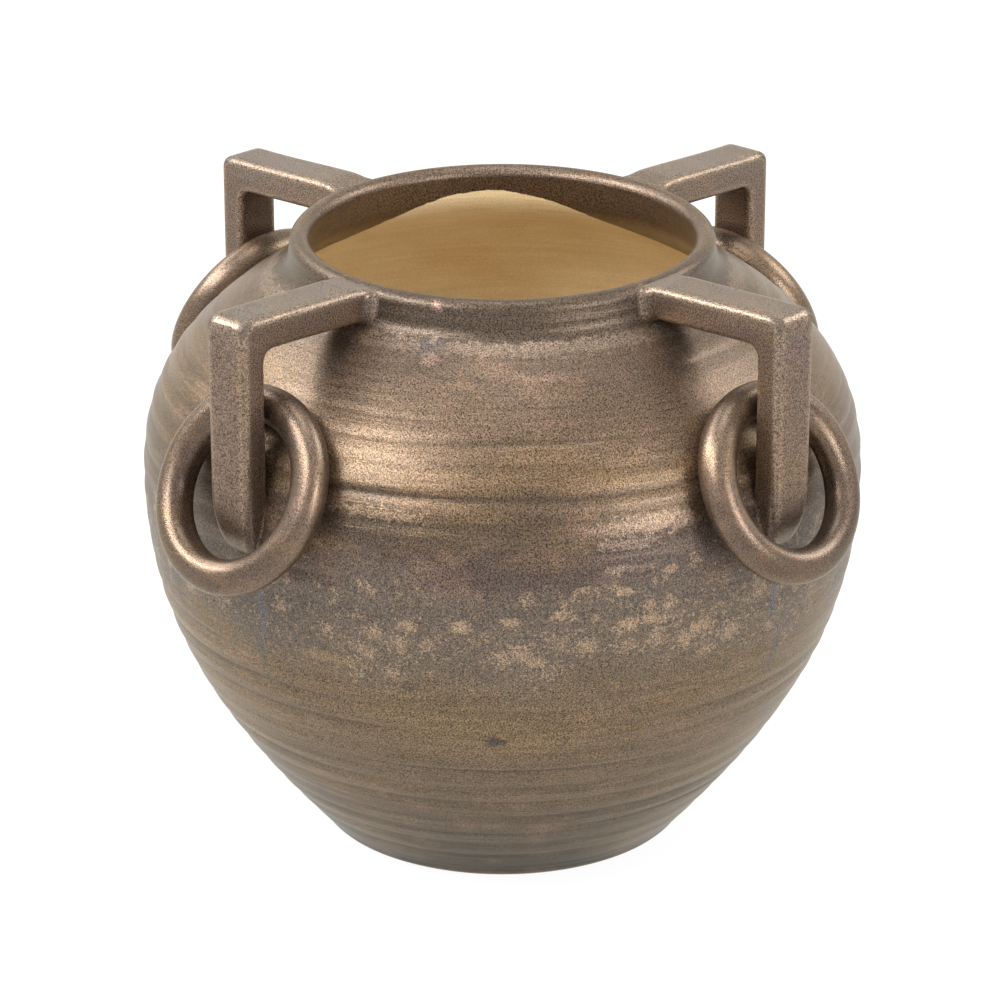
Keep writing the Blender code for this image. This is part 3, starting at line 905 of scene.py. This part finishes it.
    def bare_depth(self, radius: np.ndarray, angle: np.ndarray, height: np.ndarray) -> np.ndarray:
        """Millimetres below the glaze's edge inside, or in from the foot's edge underneath.

        Args:
            radius: Radii of the vertices.
            angle: Angles round the pot in radians.
            height: Heights above the foot.

        Returns:
            Above nought on bare clay and below on glaze.
        """
        off = np.degrees(away_from(angle, self.glaze_line_back))
        edge = self.glaze_line + self.glaze_line_rise * np.cos(np.radians(np.clip(1.75 * off, -90, 90)))
        outside = self.outside()
        limit = np.where(height > outside[-1, 1], self.lip_radius - 0.6 * self.lip_width,
                         np.interp(height, outside[:, 1], outside[:, 0]) - 0.5 * self.wall)
        inside = (radius < limit) & (height > self.floor / 2)
        depth = np.where(inside, (edge - height) / MM, OUTSIDE)
        underneath = (height < self.floor / 2) & (radius < self.bare_foot)
        stood_on = height < 0.8 * MM
        return np.where(stood_on | underneath, 3.0, depth)

    def dip(self, points: np.ndarray) -> np.ndarray:
        """Tip the rim a little, as a hand-thrown one is never quite level: low in front and high behind.

        Args:
            points: Vertices of the vessel or of a handle in its place.

        Returns:
            The vertices, those round the rim moved down or up, and those well below it or out left alone.
        """
        angle = np.arctan2(points[:, 1], points[:, 0]) - math.radians(FACING)
        radius = np.hypot(points[:, 0], points[:, 1])
        share = np.clip((points[:, 2] - self.dip_from) / self.dip_rise, 0, 1)
        share = eased(share * np.clip((self.dip_reach - radius) / self.dip_fade, 0, 1))
        points[:, 2] -= self.rim_dip * np.cos(angle) * np.minimum(radius / self.lip_radius, 1) * share
        return points

    def clearance(self, points: np.ndarray) -> np.ndarray:
        """How far points lie from the vessel's outer side.

        Args:
            points: Places in metres.

        Returns:
            Distances out from it, below nought inside the clay.
        """
        outside = self.outside()[::2]
        turned = np.linspace(0, math.pi, 13)[1:, None]
        radius = self.lip_width / 2
        middle = np.array((self.lip_radius - radius, self.rim - radius))
        lip = middle + radius * np.concatenate((np.cos(turned), np.sin(turned)), axis=1)
        outline = np.concatenate((outside, lip))
        flat = np.column_stack((np.hypot(points[:, 0], points[:, 1]), points[:, 2]))
        found = np.empty(len(flat))
        batch = 4000  # Points measured at once, which bounds the memory.
        for start in range(0, len(flat), batch):
            part = flat[start:start + batch]
            found[start:start + batch] = np.linalg.norm(part[:, None] - outline, axis=2).min(axis=1)
        wall = np.interp(flat[:, 1], outside[:, 1], outside[:, 0])
        in_lip = np.linalg.norm(flat - middle, axis=1) < radius
        buried = np.where(flat[:, 1] > middle[1], in_lip | (flat[:, 0] < middle[0]), flat[:, 0] < wall)
        return np.where(buried, -found, found)


@dataclass
class Handle:
    """Square-section handle: an arm out from the lip and a leg down to the belly, bent from one slab."""

    vessel: Vessel
    overlap: float = 0.0035
    arm_depth: float = 0.0138
    leg_depth: float = 0.0122
    edge: float = 0.0029
    outer_corner: float = 0.0046
    inner_corner: float = 0.0045
    toe_length: float = 0.0260
    toe_narrowing: float = 0.68
    toe_sink: float = 0.0094
    voxel: float = 0.00080
    arm_fillet: float = 0.0050
    toe_fillet: float = 0.0016
    lip_seat: float = 0.0006
    lip_ease: float = 0.0130

    def __post_init__(self) -> None:
        """Read the handle's outline from its CAD node on the right."""
        low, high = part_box("handle_right")
        self.half = high.y
        self.start = self.vessel.neck_radius - self.overlap
        self.outer = high.x
        self.inner = self.outer - self.leg_depth
        self.top = high.z
        self.under = self.top - self.arm_depth
        self.toe = low.z

    def slab(self) -> bpy.types.Object:
        """Model the bent slab from a block: extrude the leg down, round its edges and taper its toe.

        Returns:
            The slab on the right side, its inner ends inside the vessel's wall.
        """
        centre = ((self.start + self.outer) / 2, 0, (self.top + self.under) / 2)
        bpy.ops.object.select_all(action="DESELECT")
        bpy.ops.mesh.primitive_cube_add(size=1.0, location=centre)
        slab = bpy.context.object
        slab.scale = (self.outer - self.start, 2 * self.half, self.arm_depth)
        finish_place(slab)
        bpy.ops.object.mode_set(mode="EDIT")
        bpy.ops.mesh.select_all(action="SELECT")
        bpy.ops.mesh.bisect(plane_co=(self.inner, 0, 0), plane_no=(1, 0, 0))
        bpy.ops.object.mode_set(mode="OBJECT")
        self.pick_bottom(slab)
        drop = self.under - self.toe - self.toe_length
        bpy.ops.mesh.extrude_region_move(TRANSFORM_OT_translate={"value": (0, 0, -drop)})
        bpy.ops.object.mode_set(mode="OBJECT")
        inside, outside = (self.inner, self.under), (self.outer, self.top)
        self.round_edges(slab, self.inner_corner, 6, lambda *ends: self.at_corner(ends, inside))
        self.round_edges(slab, self.outer_corner, 6, lambda *ends: self.at_corner(ends, outside))
        self.round_edges(slab, self.edge, 4, self.is_long_edge)
        self.pick_bottom(slab)
        self.taper_toe()
        bpy.ops.object.mode_set(mode="OBJECT")
        return slab

    def pick_bottom(self, slab: bpy.types.Object) -> None:
        """Select the leg's lowest face, in edit mode."""
        only(slab)
        bpy.ops.object.mode_set(mode="EDIT")
        bpy.ops.mesh.select_mode(type="FACE")
        bpy.ops.mesh.select_all(action="DESELECT")
        bpy.ops.object.mode_set(mode="OBJECT")
        under_leg = [face for face in slab.data.polygons
                     if face.normal.z < -0.9 and face.center.x > self.inner]
        lowest = min(face.center.z for face in under_leg)
        for face in under_leg:
            face.select = face.center.z < lowest + TOUCHING
        bpy.ops.object.mode_set(mode="EDIT")

    def taper_toe(self) -> None:
        """Extrude the leg's end on in short steps that narrow it to a rounded tongue, its inner side kept."""
        before = (1.0, 1.0)
        steps = 10
        for step in range(1, steps + 1):
            share = math.sin(math.pi / 2 * step / steps)
            last = math.sin(math.pi / 2 * (step - 1) / steps)
            gone = 1 - math.sqrt(1 - share ** 2)
            width = 1 - self.toe_narrowing * gone
            depth = 1 - self.toe_sink / self.leg_depth * gone
            bpy.ops.mesh.extrude_region_move(
                TRANSFORM_OT_translate={"value": (0, 0, -self.toe_length * (share - last))})
            bpy.ops.transform.resize(value=(depth / before[1], width / before[0], 1),
                                     center_override=(self.inner, 0, 0))
            before = (width, depth)

    @staticmethod
    def at_corner(ends: Iterable[Vector], corner: tuple[float, float]) -> bool:
        """Whether an edge crosses the slab at one corner of its outline, given as x and z."""
        return all(math.dist((end.x, end.z), corner) < TOUCHING for end in ends)

    def is_long_edge(self, a: Vector, b: Vector) -> bool:
        """Whether an edge runs along the slab's outline on one of its two flat sides."""
        on_side = abs(abs(a.y) - self.half) < TOUCHING and abs(a.y - b.y) < TOUCHING
        at_start = all(abs(end.x - self.start) < TOUCHING for end in (a, b))
        at_leg_end = all(abs(end.z - self.toe - self.toe_length) < TOUCHING for end in (a, b))
        return on_side and not (at_start or at_leg_end or self.is_split(a, b))

    def is_split(self, a: Vector, b: Vector) -> bool:
        """Whether an edge is the cut across the slab's flat side, down to the rounded inner corner."""
        low, high = sorted((a.z, b.z))
        upright = abs(a.x - b.x) < TOUCHING and abs(a.x - self.inner) < 1 * MM
        return upright and high > self.top - TOUCHING and low > self.under - 6 * MM

    @staticmethod
    def round_edges(slab: bpy.types.Object, size: float, segments: int,
                    wanted: Callable[[Vector, Vector], bool]) -> None:
        """Bevel some of the slab's edges.

        Args:
            slab: The slab.
            size: Distance that the bevel takes off each side.
            segments: Number of faces across the bevel.
            wanted: Test of an edge's two ends.
        """
        only(slab)
        bpy.ops.object.mode_set(mode="EDIT")
        bpy.ops.mesh.select_mode(type="EDGE")
        bpy.ops.mesh.select_all(action="DESELECT")
        bpy.ops.object.mode_set(mode="OBJECT")
        points = slab.data.vertices
        for edge in slab.data.edges:
            edge.select = wanted(*(points[end].co for end in edge.vertices))
        bpy.ops.object.mode_set(mode="EDIT")
        bpy.ops.mesh.bevel(offset=size, segments=segments, affect="EDGES", clamp_overlap=False)
        bpy.ops.object.mode_set(mode="OBJECT")

    @staticmethod
    def soften(slab: bpy.types.Object, rounds: int) -> None:
        """Smooth the slab, as glaze rounds off cut clay."""
        only(slab)
        smooth = slab.modifiers.new("glaze softness", "SMOOTH")
        smooth.factor = 0.5
        smooth.iterations = rounds
        bpy.ops.object.modifier_apply(modifier=smooth.name)

    def mesh_evenly(self, slab: bpy.types.Object) -> None:
        """Mesh the slab with small even faces, so that it can be smoothed and spread."""
        only(slab)
        remesh = slab.modifiers.new("even mesh", "REMESH")
        remesh.mode = "VOXEL"
        remesh.voxel_size = self.voxel
        bpy.ops.object.modifier_apply(modifier=remesh.name)

    def seat(self, slab: bpy.types.Object) -> None:
        """Spread the clay into a bead where it is luted on, and settle the arm's top onto the lip.

        Args:
            slab: The evenly meshed slab.
        """
        points = read_points(slab)
        near = self.vessel.clearance(points)
        on_arm = points[:, 0] < self.inner - self.inner_corner
        fillet = np.where(on_arm, self.arm_fillet, self.toe_fillet)
        left = np.clip(fillet - near.clip(0.2 * MM), 0, None)
        spread = fillet - np.sqrt(fillet ** 2 - left ** 2)
        arm_middle = self.top - self.arm_depth / 2
        across = points[:, 1] / self.half
        up = np.where(on_arm, (points[:, 2] - arm_middle) / (self.arm_depth / 2),
                      np.minimum((points[:, 2] - self.toe - self.half) / self.half, 0))
        away = np.column_stack((across ** 3, up ** 3))
        away /= np.linalg.norm(away, axis=1).clip(1e-4)[:, None]
        share = np.clip(2.2 * np.hypot(across, up) - 0.7, 0, 1)
        points[:, 1] += spread * share * away[:, 0]
        points[:, 2] += spread * share * away[:, 1] * np.where(on_arm, np.clip(0.4 - up, 0, 1), 1.0)
        radius = np.hypot(points[:, 0], points[:, 1])
        lip_middle = self.vessel.lip_radius - self.vessel.lip_width / 2
        ease = eased(np.clip((radius - lip_middle) / self.lip_ease, 0, 1))
        sink = (self.top - self.vessel.rim + self.lip_seat) * (1 - ease)
        upper = np.clip((points[:, 2] - arm_middle) / (self.arm_depth / 2), 0, 1)
        points[:, 2] -= np.where(on_arm, sink * upper, 0)
        write_points(slab, points)

    def build(self, glaze: bpy.types.Material) -> list[bpy.types.Object]:
        """Model one handle, then copy it to each side.

        Args:
            glaze: Glaze of the handles.

        Returns:
            The four handles.
        """
        master = self.slab()
        self.mesh_evenly(master)
        self.soften(master, rounds=8)
        self.seat(master)
        self.soften(master, rounds=3)
        master.data.shade_smooth()
        # The handle's hollows and edges steer the painted shade in its fillets and the painted highlight and
        # dark reflection along its edges.
        store(master, Relief.HOLLOWS, curvature(master, rounds=12, full=0.00030))
        store(master, Relief.BARE, np.full(len(master.data.vertices), OUTSIDE))
        master.data.materials.append(glaze)
        handles = [place_copy(master, side, "handle_" + side.word, "vessel")
                   for side in Side]
        for handle in handles:
            write_points(handle, self.vessel.dip(read_points(handle)))
        bpy.data.objects.remove(master, do_unlink=True)
        return handles


@dataclass
class Ring:
    """Round bar of clay closed to a ring by hand, which hangs round its handle's leg."""

    unevenness: float = 0.00025
    fullness: float = 1.008
    oval: float = 0.005
    bar_fullness: float = 0.012
    drop: float = 0.10
    # Front, right, back and left, as the two in front hang in the photograph.
    slides: tuple[tuple[float, float, float], ...] = (
        (0.0020, 0, -0.0004), (0, -0.0006, -0.0010), (0, 0, 0), (0, 0, 0))
    sizes: tuple[float, ...] = (1.008, 0.975, 0.99, 1.0)

    def __post_init__(self) -> None:
        """Read the ring's hinge, middle and bar from its joint and its CAD node on the right."""
        joint = next(j for j in frame["joints"] if j["name"] == "right_ring_swing")
        points = read_points(frame["nodes"]["ring_right"])
        self.hinge = Vector(joint["pos_m"])
        self.middle = Vector(points.mean(axis=0))
        self.radius = (self.middle - self.hinge).length
        self.bar = float(np.abs(points[:, 1]).max()) - self.radius

    def build(self, glaze: bpy.types.Material) -> list[bpy.types.Object]:
        """Model one ring, then copy it to each side.

        Args:
            glaze: Glaze of the rings.

        Returns:
            The four rings.
        """
        down = (self.middle - self.hinge).normalized()
        out = Vector((0, 1, 0)).cross(down)
        bpy.ops.object.select_all(action="DESELECT")
        bpy.ops.mesh.primitive_torus_add(major_segments=132, minor_segments=36, major_radius=self.radius,
                                         minor_radius=self.bar)
        master = bpy.context.object
        points = read_points(master)
        along = np.arctan2(points[:, 1], points[:, 0])
        centre = np.column_stack((np.cos(along), np.sin(along), 0 * along)) * self.radius
        arm = points - centre
        round_bar = np.arctan2(arm[:, 2], np.einsum("ij,ij->i", arm, centre) / self.radius)
        wander = ripple(along, 0 * along, seed=21) + 0.8 * np.cos(3 * round_bar + along)
        swell = 1 + self.unevenness / self.bar * wander
        lowest = np.exp(-(along / 0.30) ** 2) * np.clip(-np.sin(round_bar), 0, 1)
        swell += self.bar_fullness + self.drop * lowest
        loop = self.fullness + self.oval * np.cos(2 * along + 0.8)
        points = centre * loop[:, None] + arm * swell[:, None]
        placed = sum(np.outer(points[:, i], axis) for i, axis in enumerate((down, (0, 1, 0), out)))
        write_points(master, placed + np.array(self.middle))
        only(master)
        bpy.ops.object.mode_set(mode="EDIT")
        bpy.ops.mesh.select_all(action="SELECT")
        bpy.ops.mesh.normals_make_consistent(inside=False)
        bpy.ops.object.mode_set(mode="OBJECT")
        master.data.shade_smooth()
        store(master, Relief.HOLLOWS, curvature(master, rounds=5, full=0.00060))
        store(master, Relief.BARE, np.full(len(master.data.vertices), OUTSIDE))
        master.data.materials.append(glaze)
        rings = [place_copy(master, side, "ring_" + side.word, side.word + "_ring")
                 for side in Side]
        for ring, side, slide, size in zip(rings, Side, self.slides, self.sizes):
            hinge = side.turn @ self.hinge
            ring.data.transform(Matrix.Translation(hinge + Vector(slide)) @ Matrix.Scale(size, 4)
                                @ Matrix.Translation(-hinge))
        bpy.data.objects.remove(master, do_unlink=True)
        return rings


def place_copy(master: bpy.types.Object, side: Side, node: str, body: str) -> bpy.types.Object:
    """Copy a piece modelled on the right side to a side, and let it stand for its CAD node.

    Args:
        master: Piece on the right side.
        side: Side that the copy goes to.
        node: CAD node that the copy stands for.
        body: Body that it rides on.

    Returns:
        The placed piece.
    """
    copy = bpy.data.objects.new(node + "_glazed", master.data.copy())
    bpy.context.scene.collection.objects.link(copy)
    copy.data.transform(side.turn)
    copy.data.name = copy.name
    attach(copy, body)
    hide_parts(node)
    return copy


@dataclass
class Studio:
    """White product studio: floor, soft lamps and a camera at the photograph's angle."""

    azimuth: float = 43.3
    elevation: float = 21.7
    distance: float = 1.797
    aim: float = 0.136
    lens: float = 157.0
    shift: float = 0.00103
    horizon: float = 0.45
    zenith: float = 3.2
    lamp_aim: float = 0.13

    def plain_white(self, tree: bpy.types.NodeTree) -> bpy.types.NodeSocket:
        """One for rays from the camera and mirrored or refracted ones, nought for light on matt things."""
        path = add_node(tree, "ShaderNodeLightPath")
        brush = Brush(tree)
        seen = brush.math("MAXIMUM", path.outputs["Is Camera Ray"], path.outputs["Is Glossy Ray"])
        return brush.math("MAXIMUM", seen, path.outputs["Is Transmission Ray"])

    def world(self) -> None:
        """Give the world white for what is seen, and more light from above than from the sides."""
        made = bpy.data.worlds.new("studio")
        bpy.context.scene.world = made
        made.use_nodes = True
        tree = made.node_tree
        background = tree.nodes["Background"]
        background.inputs["Color"].default_value = linear("ffffff")
        brush = Brush(tree)
        place = add_node(tree, "ShaderNodeTexCoord").outputs["Generated"]
        up = add_node(tree, "ShaderNodeSeparateXYZ", {0: place}).outputs[2]
        level = brush.spread(up, 0.0, 1.0, self.horizon, self.zenith)
        white = self.plain_white(tree)
        strength = brush.math("ADD", white, brush.times(brush.math("SUBTRACT", 1.0, white), level))
        tree.links.new(strength, background.inputs["Strength"])

    def floor(self) -> None:
        """Lay a white floor that keeps a faint shadow."""
        bpy.ops.object.select_all(action="DESELECT")
        bpy.ops.mesh.primitive_plane_add(size=12.0, location=(0, 0, 0))
        floor = bpy.context.object
        floor.name = "studio_floor"
        made = bpy.data.materials.new("white_paper_floor")
        made.use_nodes = True
        tree = made.node_tree
        paper = tree.nodes["Principled BSDF"]
        paper.inputs["Base Color"].default_value = linear("f6f6f6")
        paper.inputs["Roughness"].default_value = 0.9
        glow = add_node(tree, "ShaderNodeEmission", {"Color": linear("ffffff"), "Strength": 1.0})
        share = Brush(tree).times(self.plain_white(tree), 0.94)
        mixed = add_node(tree, "ShaderNodeMixShader", {0: share, 1: paper.outputs[0], 2: glow.outputs[0]})
        tree.links.new(mixed.outputs[0], tree.nodes["Material Output"].inputs["Surface"])
        floor.data.materials.append(made)

    def lamp(self, name: str, place: Sequence[float], size: float, power: float) -> None:
        """Hang a soft square lamp that faces the vase.

        Args:
            name: Lamp's name.
            place: Its place in metres.
            size: Length of its side.
            power: Its power in watts.
        """
        data = bpy.data.lights.new(name, "AREA")
        data.shape = "SQUARE"
        data.size = size
        data.energy = power
        lamp = bpy.data.objects.new(name, data)
        bpy.context.scene.collection.objects.link(lamp)
        lamp.location = place
        toward = Vector((0, 0, self.lamp_aim)) - Vector(place)
        lamp.rotation_euler = toward.to_track_quat("-Z", "Y").to_euler()

    def around(self, degrees: float, distance: float, height: float) -> tuple[float, float, float]:
        """Place at an angle from the camera's own direction, to the right of it above nought."""
        turn = math.radians(self.azimuth + degrees)
        return distance * math.sin(turn), -distance * math.cos(turn), height

    def camera(self) -> None:
        """Stand the camera where the photograph was taken from."""
        data = bpy.data.cameras.new("camera")
        data.lens = self.lens
        data.sensor_width = 36.0
        camera = bpy.data.objects.new("camera", data)
        bpy.context.scene.collection.objects.link(camera)
        azimuth, elevation = math.radians(self.azimuth), math.radians(self.elevation)
        back = Vector((math.sin(azimuth) * math.cos(elevation),
                       -math.cos(azimuth) * math.cos(elevation), math.sin(elevation)))
        across = Vector((math.cos(azimuth), math.sin(azimuth), 0))
        camera.location = Vector((0, 0, self.aim)) + back * self.distance - across * self.shift
        camera.rotation_euler = (-back).to_track_quat("-Z", "Y").to_euler()
        bpy.context.scene.camera = camera

    def build(self) -> None:
        """Set up the whole studio."""
        self.world()
        self.floor()
        self.lamp("left softbox", self.around(-48, 1.3, 1.32), 0.60, 20.0)
        self.lamp("right softbox", self.around(46, 1.4, 0.55), 0.50, 9.0)
        self.lamp("left window", self.around(-88, 1.4, 1.30), 0.60, 24.0)
        self.lamp("right window", self.around(106, 1.4, 1.15), 0.80, 13.0)
        self.lamp("left back window", self.around(-125, 1.4, 1.35), 0.80, 10.0)
        self.lamp("top softbox", (0, 0, 1.6), 0.6, 4.0)
        self.camera()
        bpy.context.scene.view_settings.view_transform = "Standard"


def report(pieces: Iterable[bpy.types.Object]) -> None:
    """Log each piece's name and its number of triangles."""
    for piece in pieces:
        triangles = sum(len(face.vertices) - 2 for face in piece.data.polygons)
        LOG.info("%s: %d triangles", piece.name, triangles)


def main() -> None:
    """Build the vase's pieces in order, then the studio round them."""
    logging.basicConfig(level=logging.INFO, format="%(name)s: %(message)s")
    body_glaze = BronzeGlaze("bronze_glaze_on_thrown_body", BODY_ROWS, fired=FiredMarks(BODY_MARKS))
    handle_glaze = BronzeGlaze("bronze_glaze_on_handles", HANDLE_ROWS, coat=0.30, grain_mm=0.62,
                               streak_contrast=0.06, line_depth=0.00005, arris_share=0.80)
    ring_glaze = BronzeGlaze("glossier_bronze_glaze_on_rings", RING_ROWS, metallic=0.85, roughness=0.29,
                             grain_contrast=0.55, streak_contrast=0.06, line_depth=0.00005)
    vessel = Vessel()
    report([vessel.build(body_glaze.make())])
    report(Handle(vessel).build(handle_glaze.make()))
    report(Ring().build(ring_glaze.make()))
    Studio().build()


if __name__ == "__main__":
    main()
